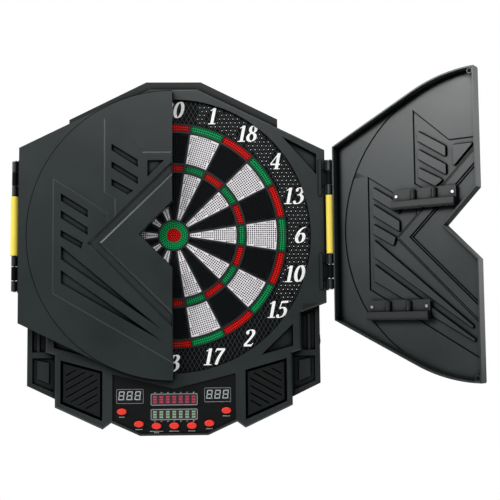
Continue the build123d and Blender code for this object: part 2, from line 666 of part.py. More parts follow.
def door_magnets():
    x, z = MAGNET_AT
    seat = DOOR_BACK + 0.6
    return Compound([slab(disc(MAGNET_R, x, spot), seat, seat + 3.0).solid() for spot in (z, -z)])


def dart_holder(corner):
    """A rack of three bays: back plate, sloped ledge with tip holes, front lip and ribs."""
    x, z = corner
    width, height = HOLDER_SIZE
    near = HOLDER_BACK
    body = block((x, x + width), (near - 2, near), (z, z + height))
    front = near - HOLDER_REACH
    ledge = [(near, z), (front + 3, z), (front, z + 3), (front, z + 11), (front + 1, z + 12), (near, z + 12)]
    body = body + along(ledge, x, width)
    for index in (1, 2):
        rib = x + width * index / 3
        body = body + upright(RIB_R, rib, near - RIB_R, (z + 11, z + height - 2))
    for index in range(3):
        body = body - upright(2.6, x + width * (index + 0.5) / 3, near - 6.5, (z - 1, z + 14))
    inset, rise = HOLDER_SCREW_INSET
    places = [(x + inset, z + rise), (x + width - inset, z + rise)]
    return body - slab(post_face(places, SCREW_R), near - 2, near)


def holder_screws():
    tip = SLOT_FLOOR - 1.0
    return Compound([screw(x, z, tip, HOLDER_BACK - 2, -1.4, 2.2).solid() for x, z in HOLDER_SCREWS])


# ---------------------------------------------------------------- hinges, right side
def knuckle_spans(height):
    """Z spans of the lower, middle and upper knuckle of one hinge."""
    return (height - 26.5, height - 11.2), (height - 10.2, height + 10.2), (height + 11.2, height + 26.5)


def hinge_frame_leaf(height):
    low, _, high = knuckle_spans(height)
    body = block((221.0, 236.0), (BEZEL_DEPTH - 1.5, BEZEL_DEPTH), (height - 28.5, height + 28.5))
    body = body - block((228.0, 237.0), (BEZEL_DEPTH - 2, BEZEL_DEPTH + 1), (height - 14.5, height + 14.5))
    pad = fillet(rectangle(((222.0, 227.6), (height - 28.0, height + 28.0))).vertices(), 2.0)
    body = body + slab(pad, BEZEL_DEPTH, BEZEL_DEPTH + 2.0, taper=30)
    for span in (low, high):
        body = body + block((232.4, HINGE_X), (BEZEL_DEPTH - 1.5, HINGE_DEPTH), span)
        body = body + upright(KNUCKLE_R, HINGE_X, HINGE_DEPTH, span)
    return body - upright(PIN_R, HINGE_X, HINGE_DEPTH, (height - 40, height + 40))


def hinge_door_leaf(height):
    middle = knuckle_spans(height)[1]
    thickness = (DOOR_EDGE_X, DOOR_EDGE_X + 1.5)
    plate = block(thickness, (DOOR_FRONT - 8.5, DOOR_FRONT - 1.4), (height - 26.5, height + 26.5))
    plate = plate + block(thickness, (37.0, 45.0), middle)
    body = plate + block((DOOR_EDGE_X, HINGE_X), (38.0, 42.0), middle)
    body = body + upright(KNUCKLE_R, HINGE_X, HINGE_DEPTH, middle)
    return body - upright(PIN_R + PIN_PLAY, HINGE_X, HINGE_DEPTH, (height - 40, height + 40))


def hinge_pin(height, far_end):
    """A pin through three knuckles that also runs on into the side bar; its head is at the far end."""
    toward_bar = height - far_end * 36.0
    head = height + far_end * 26.5
    low, high = sorted((toward_bar, head))
    cap_low, cap_high = sorted((head, head + far_end * 1.2))
    shank = upright(PIN_R, HINGE_X, HINGE_DEPTH, (low, high))
    return shank + upright(3.0, HINGE_X, HINGE_DEPTH, (cap_low, cap_high))


def side_bar():
    low = LOWER_HINGE_Z + 27.2
    high = UPPER_HINGE_Z - 27.2
    bar = upright(BAR_R, HINGE_X, HINGE_DEPTH, (low, high))
    bar = bar - upright(PIN_R, HINGE_X, HINGE_DEPTH, (low, LOWER_HINGE_Z + 36.0))
    return bar - upright(PIN_R, HINGE_X, HINGE_DEPTH, (UPPER_HINGE_Z - 36.0, high))


def catch_plates():
    """Four small steel discs in the bezel that the door magnets meet."""
    plates = []
    for x in (CATCH_AT[0], -CATCH_AT[0]):
        for z in (CATCH_AT[1], -CATCH_AT[1]):
            plates.append(slab(disc(CATCH_R, x, z), BEZEL_DEPTH - 1, BEZEL_DEPTH).solid())
    return Compound(plates)


def opened(shape):
    """Turn a closed right-door piece to the angle where the right door stands at rest."""
    pivot = Pos(HINGE_X, -HINGE_DEPTH, 0)
    return pivot * (Rot(0, 0, RIGHT_DOOR_OPEN) * (pivot.inverse() * shape))


# ---------------------------------------------------------------- writing the pieces
def save(name, shape):
    export_step(shape, f"parts/{name}.step")


def build():
    os.makedirs("parts", exist_ok=True)
    save("rear_housing", rear_housing())
    save("front_bezel", front_bezel())
    save("number_ring", number_ring())
    save("segment_spider", segment_spider())
    rings = {
        "double": (DOUBLE_R, "red", "green"),
        "outer_single": (OUTER_SINGLE_R, "black", "white"),
        "triple": (TRIPLE_R, "red", "green"),
        "inner_single": (INNER_SINGLE_R, "black", "white"),
    }
    for name, (radii, first_colour, second_colour) in rings.items():
        save(f"{name}_{first_colour}", beds(radii, 0))
        save(f"{name}_{second_colour}", beds(radii, 1))
    save("outer_bull", slab(ring(OUTER_BULL_R[1], OUTER_BULL_R[0]), SEGMENT_BACK, SEGMENT_DEPTH))
    save("inner_bull", slab(disc(INNER_BULL_R), SEGMENT_BACK, SEGMENT_DEPTH))
    save("rubber_mat", slab(disc(LAYER_R + 1), MAT_SPAN[0], MAT_SPAN[1]))
    save("sensor_membrane", sensor_membrane())
    save("foam_pad", slab(disc(LAYER_R), FOAM_SPAN[0], FOAM_SPAN[1]))
    save("backing_plate", backing_plate())
    save("main_circuit_board", main_circuit_board())
    save("control_panel_overlay", control_panel_overlay())
    save("left_digit_display", display(LEFT_DIGITS, OVERLAY_DEPTH + 0.6))
    save("right_digit_display", display(RIGHT_DIGITS, OVERLAY_DEPTH + 0.6))
    save("red_score_display", display(RED_WINDOW, OVERLAY_DEPTH))
    save("green_score_display", display(GREEN_WINDOW, OVERLAY_DEPTH))
    for name, (x, z) in BUTTONS.items():
        save(name, button(x, z))
    save("button_rubber_pad", button_rubber_pad())
    save("right_speaker_grille", speaker_grille())
    save("left_speaker_grille", mirrored(speaker_grille()))
    save("loudspeaker", loudspeaker())
    save("power_switch", power_switch())
    save("dc_jack", dc_jack())
    save("internal_leads", internal_leads())
    save("number_ring_screws", number_ring_screws())
    save("backing_plate_screws", backing_plate_screws())
    save("housing_screws", housing_screws())
    save("magnet_catch_plates", catch_plates())
    right_door = door()
    door_pieces = {
        "door": right_door,
        "upper_dart_holder": dart_holder(HOLDER_CORNERS[0]),
        "lower_dart_holder": dart_holder(HOLDER_CORNERS[1]),
        "holder_screws": holder_screws(),
        "door_magnets": door_magnets(),
        "hinge_door_leaves": Compound([hinge_door_leaf(z).solid() for z in (UPPER_HINGE_Z, LOWER_HINGE_Z)]),
    }
    for name, shape in door_pieces.items():
        save(f"right_{name}", opened(shape))
        save(f"left_{name}", mirrored(shape))
    frame_pieces = {
        "hinge_frame_leaves": Compound([hinge_frame_leaf(z).solid() for z in (UPPER_HINGE_Z, LOWER_HINGE_Z)]),
        "hinge_pins": Compound([hinge_pin(UPPER_HINGE_Z, 1).solid(), hinge_pin(LOWER_HINGE_Z, -1).solid()]),
        "side_bar": side_bar(),
    }
    for name, shape in frame_pieces.items():
        save(f"right_{name}", shape)
        save(f"left_{name}", mirrored(shape))


build()
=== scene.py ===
import json
import math

import bmesh
import bpy
from mathutils import Matrix, Vector
from mathutils.geometry import delaunay_2d_cdt


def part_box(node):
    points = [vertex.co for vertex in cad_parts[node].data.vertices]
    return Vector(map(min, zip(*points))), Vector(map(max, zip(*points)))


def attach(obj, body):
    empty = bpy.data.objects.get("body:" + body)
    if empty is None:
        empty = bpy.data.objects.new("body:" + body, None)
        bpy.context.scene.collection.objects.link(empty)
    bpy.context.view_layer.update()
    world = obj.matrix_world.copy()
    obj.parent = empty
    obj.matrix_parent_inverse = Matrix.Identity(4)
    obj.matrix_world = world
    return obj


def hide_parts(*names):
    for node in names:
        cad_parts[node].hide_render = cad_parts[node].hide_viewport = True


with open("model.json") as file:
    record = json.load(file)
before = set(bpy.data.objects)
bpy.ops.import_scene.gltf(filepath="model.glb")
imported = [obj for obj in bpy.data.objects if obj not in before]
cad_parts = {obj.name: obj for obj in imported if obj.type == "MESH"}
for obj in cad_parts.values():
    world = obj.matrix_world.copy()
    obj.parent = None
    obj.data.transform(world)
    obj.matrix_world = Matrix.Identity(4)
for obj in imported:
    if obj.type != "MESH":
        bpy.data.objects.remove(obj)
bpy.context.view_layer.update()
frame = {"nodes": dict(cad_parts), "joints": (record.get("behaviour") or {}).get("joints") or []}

NODES = frame["nodes"]
JOINTS = {joint["name"]: joint for joint in frame["joints"]}

# Millimetres for drawing; every vertex is scaled to metres when a piece is made.
MM = 0.001

# ---------------------------------------------------------------- sizes
SECTORS = 20
ORDER = [20, 1, 18, 4, 13, 6, 10, 15, 2, 17, 3, 19, 7, 16, 8, 11, 14, 9, 12, 5]
RINGS = {
    "double": (161.2, 171.5),
    "outer_single": (112.0, 158.0),
    "triple": (99.4, 108.4),
    "inner_single": (24.6, 96.0),
}
COLOURS = {
    "double": ("red", "green"),
    "outer_single": ("black", "white"),
    "triple": ("red", "green"),
    "inner_single": ("black", "white"),
}
WEB_HALF = 1.5
HOLE_PITCH = 3.2
HOLE_RADIUS = 1.2
HOLE_DEPTH = 3.0
HOLE_SIDES = 8
HOLE_LAND = 0.5                 # left between a hole and its bed's edge
NARROW_BED = 20.0               # beds narrower than this have rows on arcs
ARC_STEP = 2.5
CROWN = 0.4                     # bevel of the segments' front edges
BULL_OUTER = (21.6, 11.2)       # outer and inner radius of the outer bull
BULL_INNER = (10.5,)
BULL_SIDES = 60
NUMBER_RADIUS = 194.4
NUMBER_HEIGHT = 25.8
NUMBER_RELIEF = 0.9
RING_INNER = 173.8
RING_OUTER = 209.5
RING_SCREW_RADIUS = 203.0
RING_SCREW_ANGLES = [45 + 72 * index for index in range(5)]
HINGE_X = JOINTS["right_door_hinge"]["pos_m"][0] / MM
HINGE_DEPTH = -JOINTS["right_door_hinge"]["pos_m"][1] / MM
RIGHT_OPEN = -JOINTS["right_door_hinge"]["range_deg"][0]


def front_depth(node):
    """Distance of a node's front from the wall, in millimetres."""
    return -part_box(node)[0][1] / MM


# ---------------------------------------------------------------- colours and materials
def srgb(red, green, blue):
    """A display colour from 0 to 255 as linear values."""
    values = []
    for channel in (red, green, blue):
        level = channel / 255
        values.append(level / 12.92 if level <= 0.04045 else ((level + 0.055) / 1.055) ** 2.4)
    return (*values, 1.0)


def material(name):
    """A new node material with its nodes and links."""
    made = bpy.data.materials.new(name)
    made.use_nodes = True
    return made, made.node_tree.nodes, made.node_tree.links


# painted shade in hollows: reach as a multiple of `cavity`, the occlusion that counts as shut and the one
# that counts as open, and the least brightness
HOLLOW_SHADES = ((1, 0.5, 0.92, 0.12), (3, 0.55, 0.9, 0.4))


def shade_hollows(nodes, links, colour, shader, specular, cavity):
    """Paint shade into hollows: colour and gloss fall off by ambient occlusion over a short and a long
    reach.
    """
    shades = []
    for multiple, deepest, shallowest, floor in HOLLOW_SHADES:
        hidden = nodes.new("ShaderNodeAmbientOcclusion")
        hidden.samples = 8
        hidden.inputs["Distance"].default_value = cavity * multiple
        shade = nodes.new("ShaderNodeMapRange")
        shade.inputs["From Min"].default_value = deepest
        shade.inputs["From Max"].default_value = shallowest
        shade.inputs["To Min"].default_value = floor
        shade.inputs["To Max"].default_value = 1.0
        links.new(hidden.outputs["AO"], shade.inputs["Value"])
        shades.append(shade.outputs["Result"])
    open_sky = nodes.new("ShaderNodeMath")
    open_sky.operation = "MULTIPLY"
    for shade, socket in zip(shades, open_sky.inputs):
        links.new(shade, socket)
    dimmed = nodes.new("ShaderNodeVectorMath")
    dimmed.operation = "SCALE"
    links.new(colour, dimmed.inputs[0])
    links.new(open_sky.outputs[0], dimmed.inputs["Scale"])
    links.new(dimmed.outputs["Vector"], shader.inputs["Base Color"])
    sheen = nodes.new("ShaderNodeMath")
    sheen.operation = "MULTIPLY"
    sheen.inputs[1].default_value = specular
    links.new(open_sky.outputs[0], sheen.inputs[0])
    links.new(sheen.outputs[0], shader.inputs["Specular IOR Level"])


def darken_patches(nodes, links, place, colour, patches, factor):
    """Scale a colour where a point lies further out than a patch's |x| and lower than its z, in metres."""
    def math_node(operation, first, second=None):
        node = nodes.new("ShaderNodeMath")
        node.operation = operation
        for socket, value in zip(node.inputs, (first, second)):
            if isinstance(value, float):
                socket.default_value = value
            elif value is not None:
                links.new(value, socket)
        return node.outputs[0]

    axes = nodes.new("ShaderNodeSeparateXYZ")
    links.new(place, axes.inputs[0])
    out = math_node("ABSOLUTE", axes.outputs["X"])
    covered = None
    for least_x, top_z in patches:
        beyond = math_node("GREATER_THAN", out, least_x)
        below = math_node("LESS_THAN", axes.outputs["Z"], top_z)
        inside = math_node("MULTIPLY", beyond, below)
        covered = inside if covered is None else math_node("MAXIMUM", covered, inside)
    kept = nodes.new("ShaderNodeMapRange")
    kept.inputs["To Min"].default_value = 1.0
    kept.inputs["To Max"].default_value = factor
    links.new(covered, kept.inputs["Value"])
    scaled = nodes.new("ShaderNodeVectorMath")
    scaled.operation = "SCALE"
    links.new(colour, scaled.inputs[0])
    links.new(kept.outputs["Result"], scaled.inputs["Scale"])
    return scaled.outputs["Vector"]


GRAIN_RELIEF = 0.0004           # height of the grain's bumps in metres, at depth 1
BROAD_SCALE = 14.0              # of the uneven tint and gloss, per metre
SPECKLE_SCALE = 620.0
PATCH_TINT = 0.3
# the dark side wings below the dart face: least |x| and top z of each
WINGS = ((0.1958, -0.106), (0.1818, -0.1805))


def moulded(name, colour, roughness, grain=2200.0, depth=0.12, mottle=0.12, specular=0.5, cavity=0.0,
            patches=(), painted_glow=0.0):
    """Injection-moulded plastic: fine spark-eroded grain, uneven gloss and a faint tint variation.

    With a `cavity` in metres, hollows narrower than that get painted shade: duller and darker than the open
    faces.
    The `patches` are areas whose colour is scaled down by PATCH_TINT. The faint emission asked for by the
    last argument is painted light, which lifts a white above what the lamps give it.
    """
    made, nodes, links = material(name)
    shader = nodes["Principled BSDF"]
    place = nodes.new("ShaderNodeTexCoord")
    fine = nodes.new("ShaderNodeTexNoise")
    fine.inputs["Scale"].default_value = grain
    fine.inputs["Detail"].default_value = 2.0
    links.new(place.outputs["Object"], fine.inputs["Vector"])
    bump = nodes.new("ShaderNodeBump")
    bump.inputs["Strength"].default_value = depth
    bump.inputs["Distance"].default_value = GRAIN_RELIEF
    links.new(fine.outputs["Fac"], bump.inputs["Height"])
    links.new(bump.outputs["Normal"], shader.inputs["Normal"])
    broad = nodes.new("ShaderNodeTexNoise")
    broad.inputs["Scale"].default_value = BROAD_SCALE
    broad.inputs["Detail"].default_value = 4.0
    links.new(place.outputs["Object"], broad.inputs["Vector"])
    tint = nodes.new("ShaderNodeValToRGB")
    dark = tuple(channel * (1 - mottle) for channel in colour[:3]) + (1.0,)
    light = tuple(min(1.0, channel * (1 + mottle)) for channel in colour[:3]) + (1.0,)
    tint.color_ramp.elements[0].position = 0.3
    tint.color_ramp.elements[0].color = dark
    tint.color_ramp.elements[1].position = 0.7
    tint.color_ramp.elements[1].color = light
    speckle = nodes.new("ShaderNodeTexNoise")
    speckle.inputs["Scale"].default_value = SPECKLE_SCALE
    speckle.inputs["Detail"].default_value = 2.0
    links.new(place.outputs["Object"], speckle.inputs["Vector"])
    mix = nodes.new("ShaderNodeMath")
    mix.operation = "MULTIPLY_ADD"
    mix.inputs[1].default_value = 0.5
    links.new(speckle.outputs["Fac"], mix.inputs[0])
    half = nodes.new("ShaderNodeMath")
    half.operation = "MULTIPLY"
    half.inputs[1].default_value = 0.5
    links.new(broad.outputs["Fac"], half.inputs[0])
    links.new(half.outputs[0], mix.inputs[2])
    links.new(mix.outputs[0], tint.inputs["Fac"])
    shader.inputs["Specular IOR Level"].default_value = specular
    shader.inputs["Emission Color"].default_value = colour
    # painted light: the emission lifts a white above the light the lamps give it
    shader.inputs["Emission Strength"].default_value = painted_glow
    tinted = tint.outputs["Color"]
    if patches:
        tinted = darken_patches(nodes, links, place.outputs["Object"], tinted, patches, PATCH_TINT)
    # painted shade: hollows are made darker and duller by ambient occlusion
    if cavity:
        shade_hollows(nodes, links, tinted, shader, specular, cavity)
    else:
        links.new(tinted, shader.inputs["Base Color"])
    gloss = nodes.new("ShaderNodeMapRange")
    gloss.inputs["To Min"].default_value = roughness - 0.06
    gloss.inputs["To Max"].default_value = roughness + 0.06
    links.new(broad.outputs["Fac"], gloss.inputs["Value"])
    links.new(gloss.outputs["Result"], shader.inputs["Roughness"])
    return made


def metal(name, colour, roughness, scale=900.0):
    """Plated or turned metal with faint scratches."""
    made, nodes, links = material(name)
    shader = nodes["Principled BSDF"]
    shader.inputs["Metallic"].default_value = 1.0
    place = nodes.new("ShaderNodeTexCoord")
    noise = nodes.new("ShaderNodeTexNoise")
    noise.inputs["Scale"].default_value = scale
    noise.inputs["Detail"].default_value = 3.0
    links.new(place.outputs["Object"], noise.inputs["Vector"])
    gloss = nodes.new("ShaderNodeMapRange")
    gloss.inputs["To Min"].default_value = roughness - 0.08
    gloss.inputs["To Max"].default_value = roughness + 0.12
    links.new(noise.outputs["Fac"], gloss.inputs["Value"])
    links.new(gloss.outputs["Result"], shader.inputs["Roughness"])
    tint = nodes.new("ShaderNodeValToRGB")
    tint.color_ramp.elements[0].color = tuple(channel * 0.85 for channel in colour[:3]) + (1.0,)
    tint.color_ramp.elements[1].color = colour
    links.new(noise.outputs["Fac"], tint.inputs["Fac"])
    links.new(tint.outputs["Color"], shader.inputs["Base Color"])
    return made


# a material's `cavity` is the reach of the painted shade in its hollows
MATERIALS = {
    "charcoal": moulded("charcoal_plastic", srgb(31, 39, 40), 0.36, grain=800.0, mottle=0.3,
                        specular=0.58, cavity=0.0045),
    "bezel": moulded("bezel_plastic", srgb(31, 39, 40), 0.37, grain=800.0, mottle=0.3,
                     specular=0.6, cavity=0.005, patches=WINGS),
    "shell": moulded("housing_plastic", srgb(30, 35, 36), 0.45, specular=0.4, cavity=0.009),
    "black": moulded("black_plastic", srgb(13, 18, 19), 0.45, specular=0.3, cavity=0.006),
    "holder": moulded("holder_plastic", srgb(27, 32, 33), 0.4, specular=0.5, cavity=0.003),
    "ring": moulded("ring_black", srgb(5, 6, 6), 0.55, specular=0.1),
    "lattice": moulded("lattice_grey", srgb(58, 64, 66), 0.45, specular=0.35),
    "spider": moulded("spider_grey", srgb(38, 42, 44), 0.42, specular=0.3),
    "red": moulded("segment_red", srgb(228, 22, 16), 0.45, depth=0.05, specular=0.2),
    "green": moulded("segment_green", srgb(14, 158, 88), 0.45, depth=0.05, specular=0.2),
    "white": moulded("segment_white", srgb(252, 248, 252), 0.45, depth=0.05, mottle=0.04),
    "dark": moulded("segment_black", srgb(16, 19, 21), 0.55, depth=0.05, specular=0.12),
    # inside of the holes: the floor stands for the dark backing seen through a hole, and the walls carry
    # painted shade
    "pit": moulded("hole_backing_and_painted_shade", srgb(6, 6, 6), 0.7, depth=0.0, specular=0.1),
    # painted light: the white of the numerals and of the painted glints glows faintly
    "numeral": moulded("numeral_white_painted_glow", srgb(255, 255, 255), 0.5, depth=0.04, mottle=0.02, painted_glow=0.1),
    "panel": moulded("panel_film", srgb(8, 11, 12), 0.5, depth=0.06, specular=0.22),
    "lens": moulded("display_lens", srgb(24, 24, 27), 0.3, depth=0.0, specular=0.35),
    "lens_plum": moulded("score_lens", srgb(58, 52, 58), 0.3, depth=0.0, specular=0.35),
    "silver": moulded("silver_rim", srgb(150, 152, 154), 0.35, depth=0.03),
    "digit": moulded("digit_unlit", srgb(184, 192, 192), 0.4, depth=0.0, mottle=0.05),
    "lamp_red": moulded("lamp_red", srgb(196, 74, 96), 0.35, depth=0.0),
    "lamp_red_gap": moulded("lamp_red_gap", srgb(126, 36, 58), 0.35, depth=0.0),
    "lamp_green": moulded("lamp_green", srgb(156, 184, 154), 0.35, depth=0.0),
    "lamp_green_gap": moulded("lamp_green_gap", srgb(82, 108, 86), 0.35, depth=0.0),
    "button": moulded("button_red", srgb(255, 60, 46), 0.38, depth=0.03, mottle=0.05),
    "yellow": moulded("yellow_plastic", srgb(255, 228, 92), 0.3, depth=0.04, mottle=0.06),
    "rubber": moulded("rubber_grey", srgb(120, 120, 118), 0.8),
    "film": moulded("membrane_film", srgb(205, 210, 196), 0.4),
    "foam": moulded("foam_grey", srgb(90, 92, 94), 0.95, grain=900.0, depth=0.5),
    "board": moulded("fibreboard_brown", srgb(132, 104, 74), 0.8, grain=700.0, depth=0.3, mottle=0.25),
    "circuit": moulded("solder_mask", srgb(30, 104, 60), 0.35, mottle=0.2),
    "mark": moulded("printed_mark", srgb(176, 182, 182), 0.6, depth=0.0),
    "steel": metal("bright_zinc", srgb(214, 214, 216), 0.3),
    "blackened": metal("black_zinc", srgb(46, 47, 50), 0.35),
}

NODE_MATERIALS = {
    "rear_housing": "shell", "front_bezel": "bezel", "number_ring": "ring", "segment_spider": "spider",
    "rubber_mat": "rubber", "sensor_membrane": "film", "foam_pad": "foam", "backing_plate": "board",
    "main_circuit_board": "circuit", "control_panel_overlay": "panel", "button_rubber_pad": "rubber",
    "left_speaker_grille": "black", "right_speaker_grille": "black", "loudspeaker": "black",
    "left_digit_display": "lens", "right_digit_display": "lens", "red_score_display": "lens_plum",
    "green_score_display": "lens_plum",
    "power_switch": "black", "dc_jack": "ring", "internal_leads": "ring",
    "backing_plate_screws": "steel", "housing_screws": "steel", "magnet_catch_plates": "charcoal",
    "number_ring_screws": "blackened",
}
for side in ("left", "right"):
    NODE_MATERIALS.update({
        f"{side}_door": "charcoal", f"{side}_door_magnets": "ring", f"{side}_holder_screws": "steel",
        f"{side}_upper_dart_holder": "holder", f"{side}_lower_dart_holder": "holder",
        f"{side}_hinge_frame_leaves": "charcoal", f"{side}_hinge_door_leaves": "ring",
        f"{side}_hinge_pins": "steel", f"{side}_side_bar": "yellow",
    })
for name in NODES:
    if name.startswith("button_") and name not in NODE_MATERIALS:
        NODE_MATERIALS[name] = "button"


SHARP_ANGLE = 32.0              # the least turn of a surface that counts as an edge


def dress(node, key):
    """Give a CAD node its material."""
    mesh = NODES[node].data
    mesh.materials.clear()
    mesh.materials.append(MATERIALS[key])


def soften(node, width, segments=2):
    """Round the edges of a CAD node with modifiers only."""
    shown = NODES[node]
    weld = shown.modifiers.new("join_seams", "WELD")
    weld.merge_threshold = 0.000005
    bevel = shown.modifiers.new("edge_round", "BEVEL")
    bevel.width = width * MM
    bevel.segments = segments
    bevel.limit_method = "ANGLE"
    bevel.angle_limit = math.radians(SHARP_ANGLE)


for node_name, key in NODE_MATERIALS.items():
    dress(node_name, key)


# ---------------------------------------------------------------- mesh helpers
class Draft:
    """Collects vertices (x, depth, z in millimetres) and faces, then makes one piece."""

    def __init__(self):
        self.verts = []
        self.faces = []
        self.marks = []

    def add(self, verts, faces, mark=0):
        """Take in a mesh; `mark` picks the material of its faces."""
        base = len(self.verts)
        self.verts.extend(verts)
        self.faces.extend([[base + index for index in face] for face in faces])
        self.marks.extend([mark] * len(faces))

    def prism(self, outline, near, far, mark=0):
        """A solid with a flat outline of (x, z) points between two depths."""
        count = len(outline)
        verts = [(x, near, z) for x, z in outline] + [(x, far, z) for x, z in outline]
        faces = [list(range(count)), list(range(count, 2 * count))]
        for index in range(count):
            after = (index + 1) % count
            faces.append([index, after, count + after, count + index])
        self.add(verts, faces, mark)

    def piece(self, name, keys, body, replaces=(), turn=None):
        """Make the object: `keys` are its materials, `turn` a placement in metres."""
        mesh = bpy.data.meshes.new(name)
        points = [Vector((x, -depth, z)) * MM for x, depth, z in self.verts]
        if turn is not None:
            points = [turn @ point for point in points]
        mesh.from_pydata(points, [], self.faces)
        for key in keys:
            mesh.materials.append(MATERIALS[key])
        mesh.polygons.foreach_set("material_index", self.marks)
        work = bmesh.new()
        work.from_mesh(mesh)
        bmesh.ops.recalc_face_normals(work, faces=work.faces)
        work.to_mesh(mesh)
        work.free()
        made = bpy.data.objects.new(name, mesh)
        bpy.context.scene.collection.objects.link(made)
        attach(made, body)
        if replaces:
            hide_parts(*replaces)
        return made


def polar(radius, angle):
    """A point (x, z) at an angle in degrees, counterclockwise from the right."""
    return radius * math.cos(math.radians(angle)), radius * math.sin(math.radians(angle))


def circle(x, z, radius, sides):
    """Corners of a regular polygon about (x, z)."""
    return [(x + radius * math.cos(2 * math.pi * k / sides), z + radius * math.sin(2 * math.pi * k / sides))
            for k in range(sides)]


def spin(points, angle):
    """Turn (x, z) points about the bull."""
    cosine, sine = math.cos(math.radians(angle)), math.sin(math.radians(angle))
    return [(x * cosine - z * sine, x * sine + z * cosine) for x, z in points]


# ---------------------------------------------------------------- perforated segments
SEGMENT_FRONT = front_depth("double_red")
SEGMENT_BACK = -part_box("double_red")[1][1] / MM
CUT_HOLES = 2                   # the triangulation's mode that leaves the inner loops open


def bed_loop(radii, inset):
    """Outline of one bed whose bisector is +X, pulled in by `inset`."""
    inner, outer = radii[0] + inset, radii[1] - inset
    half = 180 / SECTORS
    lift = WEB_HALF + inset
    inner_turn = half - math.degrees(math.asin(lift / inner))
    outer_turn = half - math.degrees(math.asin(lift / outer))
    steps = max(4, round(radii[1] * math.radians(2 * half) / ARC_STEP))
    far = [polar(outer, -outer_turn + 2 * outer_turn * k / steps) for k in range(steps + 1)]
    near = [polar(inner, inner_turn - 2 * inner_turn * k / steps) for k in range(steps + 1)]
    return far + near


def bed_holes(radii):
    """Hole centres of one bed: a square lattice in the singles, rows on arcs in the narrow beds."""
    inner, outer = radii
    margin = HOLE_RADIUS + HOLE_LAND
    half = math.radians(180 / SECTORS)
    holes = []
    if outer - inner < NARROW_BED:
        rows = 3
        gap = (outer - inner - 2 * margin) / (rows - 1)
        middle = (outer + inner) / 2
        turn = math.degrees(half - math.asin((WEB_HALF + margin) / middle))
        count = round(2 * math.radians(turn) * middle / HOLE_PITCH)
        for row in range(rows):
            for k in range(count + 1):
                holes.append(polar(inner + margin + row * gap, -turn + 2 * turn * k / count))
        return holes
    rows = int((outer - inner - 2 * margin) / HOLE_PITCH)
    start = (inner + outer) / 2 - rows * HOLE_PITCH / 2
    for row in range(rows + 2):
        x = start + row * HOLE_PITCH
        for column in range(-9, 10):
            z = column * HOLE_PITCH
            radius = math.hypot(x, z)
            flank = x * math.sin(half) - abs(z) * math.cos(half)
            if inner + margin <= radius <= outer - margin and flank >= WEB_HALF + margin:
                holes.append((x, z))
    return holes


def perforated(crowns, rims, holes):
    """Vertices and faces of a plate with blind holes.

    `crowns` and `rims` are matching loops round the front face and the body, the outermost first.
    Each face comes with a mark, 0 for the plate and 1 for the inside of a hole.
    """
    flat = []
    loops = []
    for loop in crowns + [circle(x, z, HOLE_RADIUS, HOLE_SIDES) for x, z in holes]:
        loops.append(list(range(len(flat), len(flat) + len(loop))))
        flat.extend(loop)
    result = delaunay_2d_cdt([Vector(point) for point in flat], [], loops, CUT_HOLES, 1e-7)
    triangles = [list(face) for face in result[2]]
    front, back = SEGMENT_FRONT, SEGMENT_BACK
    verts = [(x, front, z) for x, z in flat]
    faces = [(triangle, 0) for triangle in triangles]
    for loop, rim in zip(loops, rims):
        shoulder = len(verts)
        verts.extend([(x, front - CROWN, z) for x, z in rim])
        tail = len(verts)
        verts.extend([(x, back, z) for x, z in rim])
        count = len(rim)
        for k in range(count):
            after = (k + 1) % count
            faces.append(([loop[k], loop[after], shoulder + after, shoulder + k], 0))
            faces.append(([shoulder + k, shoulder + after, tail + after, tail + k], 0))
    if len(rims) == 1:
        faces.append((list(range(len(verts) - len(rims[0]), len(verts))), 0))
    else:
        outer_tail = len(flat) + len(rims[0])
        inner_tail = len(flat) + 2 * len(rims[0]) + len(rims[1])
        for k in range(len(rims[0])):
            after = (k + 1) % len(rims[0])
            faces.append(([outer_tail + k, outer_tail + after, inner_tail + after, inner_tail + k], 0))
    # walls and floor of each hole take mark 1: dark backing on the floor, painted shade on the walls
    for loop in loops[len(crowns):]:
        floor = len(verts)
        verts.extend([(flat[index][0], front - HOLE_DEPTH, flat[index][1]) for index in loop])
        count = len(loop)
        for k in range(count):
            after = (k + 1) % count
            faces.append(([loop[k], loop[after], floor + after, floor + k], 1))
        faces.append((list(range(floor, floor + count)), 1))
    return verts, faces


def segment_pieces():
    """The beds of the doubles, triples and singles, one piece for each ring and colour."""
    keys = {"red": "red", "green": "green", "black": "dark", "white": "white"}
    for ring, radii in RINGS.items():
        verts, faces = perforated([bed_loop(radii, CROWN)], [bed_loop(radii, 0.0)], bed_holes(radii))
        for parity, colour in enumerate(COLOURS[ring]):
            draft = Draft()
            for index in range(parity, SECTORS, 2):
                angle = 90 - index * 360 / SECTORS
                turned = spin([(x, z) for x, depth, z in verts], angle)
                base = len(draft.verts)
                draft.verts.extend([(x, depth, z) for (x, z), (_, depth, _) in zip(turned, verts)])
                draft.faces.extend([[base + corner for corner in face] for face, _ in faces])
                draft.marks.extend([mark for _, mark in faces])
            node = f"{ring}_{colour}"
            draft.piece(f"{node}_beds", [keys[colour], "pit"], node, [node])


def hole_circles(circles):
    """Hole centres on circles, each given as radius, number of holes and turn in hole spacings."""
    return [polar(radius, 360 * (k + shift) / count)
            for radius, count, shift in circles for k in range(count)]


def bull_piece(name, colour, node, radii, holes):
    """A perforated disc or ring: `radii` are its outer and, for a ring, its inner radius."""
    insets = (-CROWN, CROWN)
    crowns = [circle(0, 0, radius + inset, BULL_SIDES) for radius, inset in zip(radii, insets)]
    rims = [circle(0, 0, radius, BULL_SIDES) for radius in radii]
    verts, faces = perforated(crowns, rims, holes)
    draft = Draft()
    draft.verts = verts
    draft.faces = [face for face, _ in faces]
    draft.marks = [mark for _, mark in faces]
    draft.piece(name, [colour, "pit"], node, [node])


